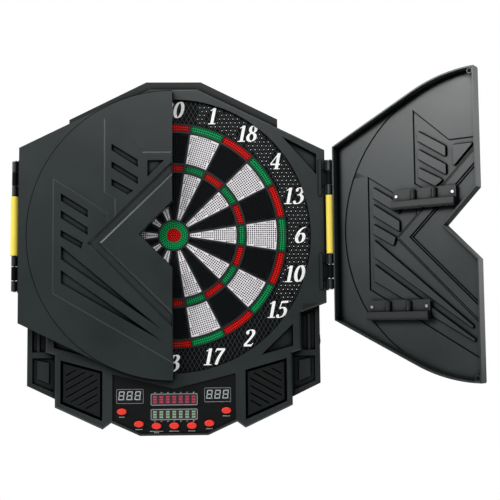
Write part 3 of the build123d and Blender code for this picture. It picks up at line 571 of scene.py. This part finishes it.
def bull_pieces():
    """The outer bull with three circles of holes, the inner bull with three and a hole in the middle."""
    ring_holes = hole_circles([(13.4, 24, 0.0), (16.4, 30, 0.5), (19.5, 36, 0.0)])
    bull_piece("outer_bull_ring", "green", "outer_bull", BULL_OUTER, ring_holes)
    disc_holes = [(0.0, 0.0)] + hole_circles([(2.9, 6, 0.0), (5.7, 12, 0.0), (8.5, 18, 0.0)])
    bull_piece("inner_bull_disc", "red", "inner_bull", BULL_INNER, disc_holes)


# ---------------------------------------------------------------- number ring
RING_FRONT = front_depth("number_ring")
LATTICE_HALF = 3.4              # half the width of one diamond
LATTICE_RISE = 6.0              # half its height
LATTICE_WIDTH = 0.55
LATTICE_HEIGHT = 0.7
LATTICE_LEAST = 0.8             # shorter stubs of a strip are left out
LATTICE_GAP = 0.3               # between the lattice and the ring's edges
SCREW_GAP = 4.0                 # radius of the plain patch round each screw
GLINT_RADIUS = 0.66
GLINT_CLEARANCE = 1.5             # between the painted glints and the numbers
NUMBER_HALVES = (0.32, 0.6)     # half width of one figure and of two, in heights
# painted highlights: the glints stand only where the light catches the ring, within these radii and angles
GLINT_RADII = (176.0, 207.0)
GLINT_ANGLES = (-30.0, 78.5)


def circle_span(start, direction, centre, radius):
    """Where a line through `start` runs inside a circle, as distances along it, or None."""
    offset = (start[0] - centre[0], start[1] - centre[1])
    along = offset[0] * direction[0] + offset[1] * direction[1]
    inside = along ** 2 - (offset[0] ** 2 + offset[1] ** 2 - radius ** 2)
    if inside <= 0:
        return None
    root = math.sqrt(inside)
    return -along - root, -along + root


def without(spans, cut):
    """Take one span out of a list of spans."""
    kept = []
    for low, high in spans:
        if cut is None or cut[1] <= low or cut[0] >= high:
            kept.append((low, high))
            continue
        if cut[0] > low:
            kept.append((low, cut[0]))
        if cut[1] < high:
            kept.append((cut[1], high))
    return kept


def ring_lattice():
    """Thin raised bars that cross in diamonds all over the number ring, kept clear of its screws."""
    draft = Draft()
    screws = [polar(RING_SCREW_RADIUS, angle) for angle in RING_SCREW_ANGLES]
    length = math.hypot(LATTICE_HALF, LATTICE_RISE)
    reach = int(RING_OUTER * 1.6 / (2 * LATTICE_HALF))
    for lean in (1, -1):
        direction = (lean * LATTICE_HALF / length, LATTICE_RISE / length)
        normal = (-direction[1], direction[0])
        for index in range(-reach, reach + 1):
            start = (2 * LATTICE_HALF * index, 0.0)
            whole = circle_span(start, direction, (0, 0), RING_OUTER - LATTICE_GAP)
            if whole is None:
                continue
            spans = without([whole], circle_span(start, direction, (0, 0), RING_INNER + LATTICE_GAP))
            for centre in screws:
                spans = without(spans, circle_span(start, direction, centre, SCREW_GAP))
            for low, high in spans:
                if high - low < LATTICE_LEAST:
                    continue
                x0, z0 = start[0] + low * direction[0], start[1] + low * direction[1]
                x1, z1 = start[0] + high * direction[0], start[1] + high * direction[1]
                dx, dz = normal[0] * LATTICE_WIDTH / 2, normal[1] * LATTICE_WIDTH / 2
                top = RING_FRONT + LATTICE_HEIGHT + 0.01 * lean
                strip = [(x0 - dx, z0 - dz), (x1 - dx, z1 - dz), (x1 + dx, z1 + dz), (x0 + dx, z0 + dz)]
                draft.prism(strip, RING_FRONT - 0.3, top)
    draft.piece("number_ring_lattice", ["lattice"], "cabinet")


def clear_of_numbers(x, z):
    """Whether a point lies outside the oval round every number of the ring."""
    for index, value in enumerate(ORDER):
        across, up = polar(NUMBER_RADIUS, 90 - index * 360 / SECTORS)
        rise = z - up
        side = x - across - SLANT * rise
        half_width = NUMBER_HEIGHT * NUMBER_HALVES[value >= 10] + GLINT_CLEARANCE
        if math.hypot(side / half_width, rise / (NUMBER_HEIGHT / 2 + GLINT_CLEARANCE)) < 1:
            return False
    return True


def ring_pips():
    """Painted glints: small pale dots in the diamonds of the ring's upper right part, where the lattice
    catches the light.
    """
    draft = Draft()
    rows = int(RING_OUTER / LATTICE_RISE)
    columns = int(RING_OUTER / LATTICE_HALF)
    for row in range(-rows, rows + 1):
        for column in range(-columns, columns + 1):
            if (row + column) % 2 == 0:
                continue
            x, z = column * LATTICE_HALF, row * LATTICE_RISE
            radius = math.hypot(x, z)
            angle = math.degrees(math.atan2(z, x))
            placed = GLINT_RADII[0] < radius < GLINT_RADII[1] and GLINT_ANGLES[0] < angle < GLINT_ANGLES[1]
            if placed and clear_of_numbers(x, z):
                draft.prism(circle(x, z, GLINT_RADIUS, 8), RING_FRONT - 0.2, RING_FRONT + 0.4)
    draft.piece("number_ring_painted_glints", ["numeral"], "cabinet")


# ---------------------------------------------------------------- numerals
# in heights of a figure: the pen's widths down and across, the slant and the gap between figures
THICK = 0.168
THIN = 0.052
SLANT = 0.2
GLYPH_GAP = 0.085
NIB = math.radians(12.0)
SPREAD = 1.1                    # the figures are drawn a little wide
SIX = [(0.48, 0.94), (0.35, 0.89), (0.20, 0.74), (0.10, 0.50), (0.09, 0.24), (0.18, 0.06), (0.31, 0.03),
       (0.43, 0.13), (0.47, 0.32), (0.42, 0.50), (0.31, 0.56), (0.18, 0.50), (0.10, 0.34)]
# each glyph: width, curved strokes, straight bars (from, to, thickness), round terminals (x, z, radius)
GLYPHS = {
    "0": (0.56, [], [], []),
    "1": (0.42, [[(0.26, 0.97), (0.26, 0.5), (0.26, 0.04)]],
          [((0.07, 0.82), (0.30, 0.97), 0.05), ((0.06, 0.025), (0.46, 0.025), 0.05)], []),
    "2": (0.52, [[(0.10, 0.76), (0.14, 0.90), (0.27, 0.96), (0.40, 0.90), (0.44, 0.74), (0.36, 0.54),
                  (0.21, 0.30), (0.06, 0.08)]],
          [((0.03, 0.06), (0.44, 0.06), 0.12), ((0.42, 0.03), (0.49, 0.19), 0.05)], [(0.13, 0.77, 0.075)]),
    "3": (0.52, [[(0.11, 0.82), (0.17, 0.93), (0.29, 0.96), (0.41, 0.88), (0.41, 0.72), (0.31, 0.58),
                  (0.19, 0.54)],
                 [(0.19, 0.54), (0.36, 0.53), (0.47, 0.40), (0.46, 0.20), (0.33, 0.05), (0.18, 0.03),
                  (0.07, 0.10)]],
          [], [(0.13, 0.81, 0.07), (0.09, 0.13, 0.075)]),
    "4": (0.54, [[(0.38, 0.97), (0.38, 0.5), (0.38, 0.03)]],
          [((0.38, 0.97), (0.03, 0.32), 0.055), ((0.02, 0.29), (0.54, 0.29), 0.085),
           ((0.24, 0.022), (0.52, 0.022), 0.045)], []),
    "5": (0.52, [[(0.13, 0.54), (0.25, 0.60), (0.39, 0.55), (0.46, 0.38), (0.41, 0.17), (0.28, 0.05),
                  (0.15, 0.03), (0.05, 0.11)]],
          [((0.16, 0.92), (0.52, 0.94), 0.12), ((0.175, 0.95), (0.125, 0.53), 0.055)],
          [(0.08, 0.13, 0.075)]),
    "6": (0.54, [SIX], [], []),
    "7": (0.52, [[(0.49, 0.93), (0.36, 0.66), (0.26, 0.38), (0.20, 0.03)]],
          [((0.08, 0.92), (0.53, 0.92), 0.12), ((0.09, 0.96), (0.06, 0.76), 0.05)], []),
    "8": (0.54, [], [], []),
    "9": (0.54, [[(0.56 - x, 0.99 - z) for x, z in SIX]], [], []),
}
OVAL_STEPS = 40
BALL_SIDES = 14
# each oval: centre x and z, half width and half height
GLYPH_OVALS = {
    "0": [(0.28, 0.5, 0.20, 0.455)],
    "8": [(0.29, 0.755, 0.15, 0.20), (0.27, 0.27, 0.195, 0.235)],
}


def smooth_path(points, steps=7):
    """Catmull-Rom curve through points."""
    padded = [points[0]] + list(points) + [points[-1]]
    path = []
    for k in range(1, len(padded) - 2):
        p0, p1, p2, p3 = (Vector(padded[k + shift]) for shift in (-1, 0, 1, 2))
        for step in range(steps):
            t = step / steps
            path.append(0.5 * ((2 * p1) + (p2 - p0) * t + (2 * p0 - 5 * p1 + 4 * p2 - p3) * t ** 2
                               + (3 * p1 - p0 - 3 * p2 + p3) * t ** 3))
    path.append(Vector(padded[-2]))
    return path


def nib_width(direction):
    """Pen width for a stroke direction: thick down, thin across."""
    angle = math.atan2(direction.y, direction.x) - NIB
    return math.hypot(THIN * math.cos(angle), THICK * math.sin(angle))


def pen(draft, path, closed, place, depth):
    """One stroke of a broad pen, as a flat raised band."""
    left, right = [], []
    count = len(path)
    for k in range(count):
        before = path[(k - 1) % count] if closed or k else path[k]
        after = path[(k + 1) % count] if closed or k < count - 1 else path[k]
        direction = (after - before).normalized()
        side = Vector((-direction.y, direction.x)) * nib_width(direction) / 2
        left.append(place(path[k] + side))
        right.append(place(path[k] - side))
    near, far = depth
    spans = count if closed else count - 1
    verts = []
    for row, level in ((left, far), (right, far), (left, near), (right, near)):
        verts.extend([(x, level, z) for x, z in row])
    faces = []
    for k in range(spans):
        after = (k + 1) % count
        faces.append([k, after, count + after, count + k])
        faces.append([2 * count + k, 3 * count + k, 3 * count + after, 2 * count + after])
        faces.append([k, 2 * count + k, 2 * count + after, after])
        faces.append([count + k, count + after, 3 * count + after, 3 * count + k])
    if not closed:
        for k in (0, count - 1):
            faces.append([k, count + k, 3 * count + k, 2 * count + k])
    draft.add(verts, faces)


def draw_number(draft, text, centre, height, depth, lift=0.012):
    """A number centred on (x, z), in italic figures; each stroke is a hair higher than the last."""
    near, far = depth
    width = sum(GLYPHS[figure][0] for figure in text) + GLYPH_GAP * (len(text) - 1)
    cursor = -width / 2
    stroke = 0
    for figure in text:
        advance, curves, bars, balls = GLYPHS[figure]

        def place(point, left=cursor):
            x = (left + point[0]) * SPREAD + (point[1] - 0.5) * SLANT
            return centre[0] + x * height, centre[1] + (point[1] - 0.5) * height

        for points in curves:
            pen(draft, smooth_path(points), False, place, (near, far + lift * stroke))
            stroke += 1
        for x, z, half_width, half_height in GLYPH_OVALS.get(figure, []):
            path = [Vector((x + half_width * across, z + half_height * up))
                    for across, up in circle(0, 0, 1, OVAL_STEPS)]
            pen(draft, path, True, place, (near, far + lift * stroke))
            stroke += 1
        for start, end, thickness in bars:
            direction = (Vector(end) - Vector(start)).normalized()
            side = Vector((-direction.y, direction.x)) * thickness / 2
            corners = [Vector(start) + side, Vector(end) + side, Vector(end) - side, Vector(start) - side]
            draft.prism([place(corner) for corner in corners], near, far + lift * stroke)
            stroke += 1
        for x, z, radius in balls:
            ball = [place(point) for point in circle(x, z, radius, BALL_SIDES)]
            draft.prism(ball, near, far + lift * stroke)
            stroke += 1
        cursor += advance + GLYPH_GAP


def ring_numerals():
    """The white figures of the ring."""
    draft = Draft()
    for index, value in enumerate(ORDER):
        centre = polar(NUMBER_RADIUS, 90 - index * 360 / SECTORS)
        draw_number(draft, str(value), centre, NUMBER_HEIGHT, (RING_FRONT, RING_FRONT + NUMBER_RELIEF))
    draft.piece("number_ring_numerals", ["numeral"], "cabinet")


# ---------------------------------------------------------------- control panel
OVERLAY_FRONT = front_depth("control_panel_overlay")
PRINT = (OVERLAY_FRONT - 0.1, OVERLAY_FRONT + 0.05)     # depths of the printed marks on the panel
BUTTON_NAMES = sorted(name for name in NODES if name.startswith("button_") and name != "button_rubber_pad")
WINDOW_INSET = 0.6              # from a display's edge to its window's
DIGIT_SIZE = (8.4, 13.0)
DIGIT_PITCH = 12.2
DIGIT_STROKE = 1.45
DIGIT_INSET = (2.2, 2.9)        # from the window's left and top edges
POINT_RADIUS = 0.45
POINT_OFFSET = (1.1, 0.5)       # from a figure's lower right corner
LAMP_COLUMNS = 7
LAMP_PITCH = (9.7, 4.0)         # between columns and between rows
LAMP_CELL = (5.6, 11.4)         # the darker field behind a column
LAMP_SIZE = (2.4, 2.5)
LAMP_SPACING = 2.8              # between the two lamps of a row
SCORE_LABEL_HEIGHT = 2.2
SCORE_LABEL_LIFT = (1.7, -2.2)  # above the red window, below the green one
LABEL_BLOCK = 1.7               # about one printed block per letter
LABEL_BLOCK_GAP = 0.35
LABEL_HEIGHT = 1.2
LABEL_DROP = (2.9, 2.0)         # from the button to the first line, and from line to line
LABEL_WIDTHS = {
    # widths of the printed lines under each button
    "button_upper_left": [8.0], "button_lower_left_outer": [11.0], "button_lower_left_inner": [20.0, 8.0],
    "button_lower_centre": [14.5], "button_lower_right_inner": [10.5], "button_lower_right_outer": [10.0],
    "button_upper_right": [11.0],
}


def span_of(node):
    """Left, right, bottom and top of a node in mm."""
    low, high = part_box(node)
    return low[0] / MM, high[0] / MM, low[2] / MM, high[2] / MM


def window_rim(draft, spans, near, far, inner, outer, corner=1.6):
    """A thin frame with rounded corners, from `inner` to `outer` mm beyond the window's edge."""
    def loop(margin):
        x0, x1, z0, z1 = spans
        radius = corner + margin
        points = []
        for cx, cz, start in ((x1 - corner, z1 - corner, 0), (x0 + corner, z1 - corner, 90),
                              (x0 + corner, z0 + corner, 180), (x1 - corner, z0 + corner, 270)):
            for step in range(5):
                angle = math.radians(start + 22.5 * step)
                points.append((cx + radius * math.cos(angle), cz + radius * math.sin(angle)))
        return points

    inside, outside = loop(inner), loop(outer)
    middle = [((a + c) / 2, (b + d) / 2) for (a, b), (c, d) in zip(inside, outside)]
    count = len(inside)
    section = ((outside, near), (outside, far - 0.25), (middle, far), (inside, far - 0.3), (inside, near))
    verts = []
    for row, level in section:
        verts.extend([(x, level, z) for x, z in row])
    faces = []
    for row in range(5):
        below = (row + 1) % 5
        for k in range(count):
            after = (k + 1) % count
            faces.append([row * count + k, row * count + after, below * count + after, below * count + k])
    draft.add(verts, faces)


def seven_segment(draft, left, bottom, size, stroke, near, far):
    """An unlit figure eight of seven mitred bars, leaning right."""
    width, height = size
    gap, lean = 0.22, 0.13
    half, middle = stroke / 2, height / 2
    bars = []
    for low, high in ((0, 1), (height, -1)):
        bars.append([(gap, low), (width - gap, low), (width - stroke - gap, low + high * stroke),
                     (stroke + gap, low + high * stroke)])
    for edge, inward in ((0, 1), (width, -1)):
        for low, high in ((gap, middle - gap), (middle + gap, height - gap)):
            foot = stroke if low < middle else half
            head = half if low < middle else stroke
            bars.append([(edge, low), (edge, high), (edge + inward * stroke, high - head),
                         (edge + inward * stroke, low + foot)])
    low, high = middle - half, middle + half
    bars.append([(half + gap, middle), (stroke + gap, high), (width - stroke - gap, high),
                 (width - half - gap, middle), (width - stroke - gap, low), (stroke + gap, low)])
    for bar in bars:
        draft.prism([(left + x + z * lean, bottom + z) for x, z in bar], near, far)


def display_window(node, rim_lift, rim_reach):
    """The window of a display node, its front depth, and a thin silver rim round it."""
    x0, x1, z0, z1 = span_of(node)
    spans = (x0 + WINDOW_INSET, x1 - WINDOW_INSET, z0 + WINDOW_INSET, z1 - WINDOW_INSET)
    face = front_depth(node)
    rim = Draft()
    window_rim(rim, spans, OVERLAY_FRONT - 0.2, face + rim_lift, -rim_reach, 0.4)
    rim.piece(f"{node}_rim", ["silver"], "cabinet")
    return spans, face


def digit_displays():
    """Three unlit figures with a point each in the two large windows."""
    width, height = DIGIT_SIZE
    for node in ("left_digit_display", "right_digit_display"):
        (x0, _, _, z1), face = display_window(node, 0.4, 0.25)
        near, far = face - 0.1, face + 0.08
        bottom = z1 - DIGIT_INSET[1] - height
        figures = Draft()
        for k in range(3):
            left = x0 + DIGIT_INSET[0] + k * DIGIT_PITCH
            seven_segment(figures, left, bottom, DIGIT_SIZE, DIGIT_STROKE, near, far)
            point = circle(left + width + POINT_OFFSET[0], bottom + POINT_OFFSET[1], POINT_RADIUS, 8)
            figures.prism(point, near, far)
        figures.piece(f"{node}_figures", ["digit"], "cabinet")


def block(centre, size):
    """Corners of an upright rectangle, counterclockwise from the lower left."""
    (x, z), (half_width, half_height) = centre, (size[0] / 2, size[1] / 2)
    return [(x - half_width, z - half_height), (x + half_width, z - half_height),
            (x + half_width, z + half_height), (x - half_width, z + half_height)]


def lamp_column(lamps, x, middle, face):
    """Three rows of two lamps before a darker field."""
    lamps.prism(block((x, middle), LAMP_CELL), face - 0.1, face + 0.05, 1)
    for row in range(3):
        z = middle + (row - 1) * LAMP_PITCH[1]
        for side in (-1, 1):
            lamps.prism(block((x + side * LAMP_SPACING / 2, z), LAMP_SIZE), face - 0.1, face + 0.15)


def score_displays():
    """The two score windows with their lamps, and all that is printed on the panel."""
    marks = Draft()
    windows = (("red_score_display", "lamp_red", "lamp_red_gap"),
               ("green_score_display", "lamp_green", "lamp_green_gap"))
    for (node, lit, gap), lift in zip(windows, SCORE_LABEL_LIFT):
        (_, _, z0, z1), face = display_window(node, 1.0, 0.8)
        label_z = (z1 if node == "red_score_display" else z0) + lift
        lamps = Draft()
        for column in range(LAMP_COLUMNS):
            x = (column - LAMP_COLUMNS // 2) * LAMP_PITCH[0]
            lamp_column(lamps, x, (z0 + z1) / 2, face)
            if column < LAMP_COLUMNS - 1:
                draw_number(marks, str(20 - column), (x, label_z), SCORE_LABEL_HEIGHT, PRINT, 0.002)
            else:
                marks.prism(circle(x, label_z, 1.1, 16), *PRINT)
        lamps.piece(f"{node}_lamps", [lit, gap], "cabinet")
    for name in BUTTON_NAMES:
        button_label(marks, name)
    marks.piece("panel_marks", ["mark"], "cabinet")


def button_label(marks, name):
    """Rows of small blocks in the place of the words under a button."""
    x0, x1, z0, _ = span_of(name)
    for row, width in enumerate(LABEL_WIDTHS[name]):
        blocks = round(width / LABEL_BLOCK)
        step = width / blocks
        low = z0 - LABEL_DROP[0] - LABEL_DROP[1] * row
        high = low + LABEL_HEIGHT
        for k in range(blocks):
            left = (x0 + x1) / 2 - width / 2 + k * step
            right = left + step - LABEL_BLOCK_GAP
            marks.prism([(left, low), (right, low), (right, high), (left, high)], *PRINT)


# ---------------------------------------------------------------- floors of the doors' round grooves
GROOVE_RADII = (218.0, 219.6)
GROOVE_FLOOR = (50.3, 50.8)     # depths of its two faces
GROOVE_REACH = 58.0             # degrees above and below the hinge line


def door_groove_floor(side, turn):
    """A thin curved strip at the bottom of one door's round groove, drawn with the door shut."""
    steps = 60
    across = -1 if side == "left" else 1
    verts, faces = [], []
    for k in range(steps + 1):
        for radius in GROOVE_RADII:
            x, z = polar(radius, GROOVE_REACH * (2 * k / steps - 1))
            verts.extend([(across * x, depth, z) for depth in GROOVE_FLOOR])
    for k in range(steps):
        for first, second in ((0, 1), (1, 3), (3, 2), (2, 0)):
            faces.append([4 * k + first, 4 * k + second, 4 * k + 4 + second, 4 * k + 4 + first])
    faces.append([0, 1, 3, 2])
    faces.append([4 * steps, 4 * steps + 1, 4 * steps + 3, 4 * steps + 2])
    draft = Draft()
    draft.add(verts, faces)
    draft.piece(f"{side}_door_groove_floor", ["charcoal"], f"{side}_door", turn=turn)


def open_turn():
    """The right door's turn from shut to its place at rest."""
    hinge = Vector((HINGE_X, -HINGE_DEPTH, 0)) * MM
    return (Matrix.Translation(hinge) @ Matrix.Rotation(math.radians(RIGHT_OPEN), 4, "Z")
            @ Matrix.Translation(-hinge))


# ---------------------------------------------------------------- build the visual pieces
EDGE_WIDTHS = {
    "front_bezel": 0.5, "rear_housing": 0.5, "left_door": 0.35, "right_door": 0.35,
    "left_speaker_grille": 0.3, "right_speaker_grille": 0.3,
}
BUTTON_EDGE = 1.7

door_groove_floor("left", None)
door_groove_floor("right", open_turn())
segment_pieces()
bull_pieces()
ring_lattice()
ring_pips()
ring_numerals()
digit_displays()
score_displays()
for node_name, width in EDGE_WIDTHS.items():
    soften(node_name, width)
for node_name in BUTTON_NAMES:
    soften(node_name, BUTTON_EDGE, 5)


# ---------------------------------------------------------------- stage, light and camera
# metres, degrees and watts
FILL_STRENGTH = 0.16
FLOOR_SIDES = 96
FLOOR_RADIUS = 1.15
FLOOR_LEVEL = -0.62
LENS = 68.2                     # mm, on a sensor 36 mm wide
EYE = (0.0711, -1.4729, -0.1376)
EYE_TURN = (-1.795, 4.52, 0.558)    # to the right, upwards and rolled, from a look straight along +Y
# name, place, target, width and height, power
LIGHTS = (
    ("key", (-1.5, -1.25, 1.05), (0.1, 0.0, 0.05), (1.0, 1.0), 32),
    ("top", (0.1, -0.25, 1.4), (0.05, 0.0, 0.1), (1.4, 0.4), 8),
    ("front", (0.15, -1.55, 0.95), (0.0, 0.0, 0.0), (0.9, 0.5), 6.5),
    ("left", (-2.1, -0.25, 0.45), (0.0, 0.0, 0.0), (0.7, 1.4), 3),
    ("right", (2.2, -1.8, 0.8), (0.0, 0.0, 0.0), (0.8, 1.4), 5),
    ("rim_right", (2.3, 1.3, 0.5), (0.2, 0.0, 0.0), (1.2, 1.6), 10),
    ("rim_left", (-2.3, 1.3, 0.5), (-0.2, 0.0, 0.0), (1.2, 1.6), 12),
)


def stage_floor():
    """A round pale floor under the place where the board hangs."""
    mesh = bpy.data.meshes.new("floor")
    rim = [(x, y, FLOOR_LEVEL) for x, y in circle(0, 0, FLOOR_RADIUS, FLOOR_SIDES)]
    mesh.from_pydata(rim, [], [list(range(FLOOR_SIDES))])
    floor = bpy.data.objects.new("floor", mesh)
    bpy.context.scene.collection.objects.link(floor)
    paint, nodes, _ = material("pale_floor")
    nodes["Principled BSDF"].inputs["Base Color"].default_value = (0.92, 0.92, 0.92, 1)
    nodes["Principled BSDF"].inputs["Roughness"].default_value = 0.9
    mesh.materials.append(paint)


def area_light(name, place, target, size, power):
    """A soft box turned to its target."""
    light = bpy.data.lights.new(name, "AREA")
    light.shape = "RECTANGLE"
    light.size, light.size_y = size
    light.energy = power
    holder = bpy.data.objects.new(name, light)
    holder.location = place
    holder.rotation_euler = (Vector(target) - Vector(place)).to_track_quat("-Z", "Y").to_euler()
    bpy.context.scene.collection.objects.link(holder)


def backdrop_light():
    """A backdrop that the camera sees white and that lights the object only dimly."""
    world = bpy.data.worlds.new("studio")
    world.use_nodes = True
    nodes, links = world.node_tree.nodes, world.node_tree.links
    backdrop = nodes["Background"]
    backdrop.inputs["Color"].default_value = (1, 1, 1, 1)
    backdrop.inputs["Strength"].default_value = 1.0
    fill = nodes.new("ShaderNodeBackground")
    fill.inputs["Color"].default_value = (1, 1, 1, 1)
    fill.inputs["Strength"].default_value = FILL_STRENGTH
    path = nodes.new("ShaderNodeLightPath")
    mix = nodes.new("ShaderNodeMixShader")
    links.new(path.outputs["Is Camera Ray"], mix.inputs["Fac"])
    links.new(fill.outputs["Background"], mix.inputs[1])
    links.new(backdrop.outputs["Background"], mix.inputs[2])
    links.new(mix.outputs["Shader"], nodes["World Output"].inputs["Surface"])
    bpy.context.scene.world = world


def camera():
    """The camera of the photo, in front of the board, a little low and to the right."""
    eye = bpy.data.cameras.new("camera")
    eye.lens = LENS
    eye.sensor_width = 36.0
    holder = bpy.data.objects.new("camera", eye)
    pan, tilt, roll = [math.radians(angle) for angle in EYE_TURN]
    turn = (Matrix.Rotation(pan, 3, "Z") @ Matrix.Rotation(tilt, 3, "X")
            @ Matrix.Rotation(roll, 3, "Y") @ Matrix.Rotation(math.radians(90), 3, "X"))
    holder.matrix_world = Matrix.Translation(EYE) @ turn.to_4x4()
    bpy.context.scene.collection.objects.link(holder)
    bpy.context.scene.camera = holder


stage_floor()
backdrop_light()
for light_row in LIGHTS:
    area_light(*light_row)
camera()
bpy.context.scene.view_settings.view_transform = "Standard"
bpy.context.view_layer.update()
